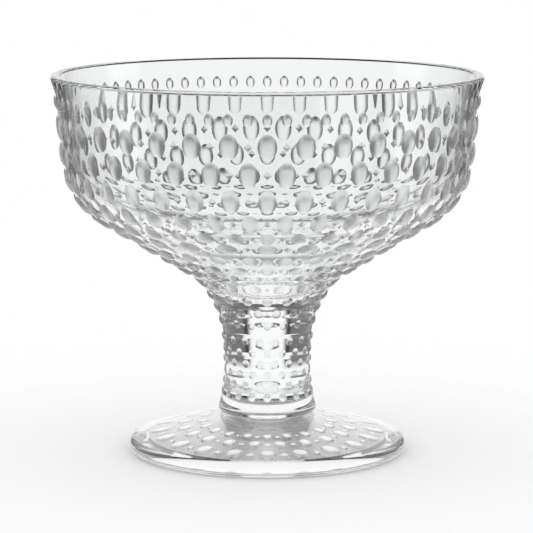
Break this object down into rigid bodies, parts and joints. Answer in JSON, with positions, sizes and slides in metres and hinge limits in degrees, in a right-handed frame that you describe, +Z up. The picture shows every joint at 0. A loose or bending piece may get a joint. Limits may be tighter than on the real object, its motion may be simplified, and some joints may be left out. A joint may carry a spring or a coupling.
{
  "type": "footed glass bowl",
  "caption": "Footed bowl in clear pressed glass: a deep open bowl with raised drops outside, on a solid waisted stem and a low round foot.",
  "frame": {"origin": "centre of the round foot, on the surface that the bowl stands on", "axes": "+Z up the axis of the bowl, from the foot to the lip; +X and +Y are alike, because the bowl is round"},
  "size_m": [0.14, 0.14, 0.1235],
  "materials": {
    "clear_glass": "clear soda-lime glass, pressed and fire-polished"
  },
  "bodies": {
    "root": {"bowl": "clear_glass", "stem": "clear_glass", "foot": "clear_glass"}
  },
  "joints": []
}
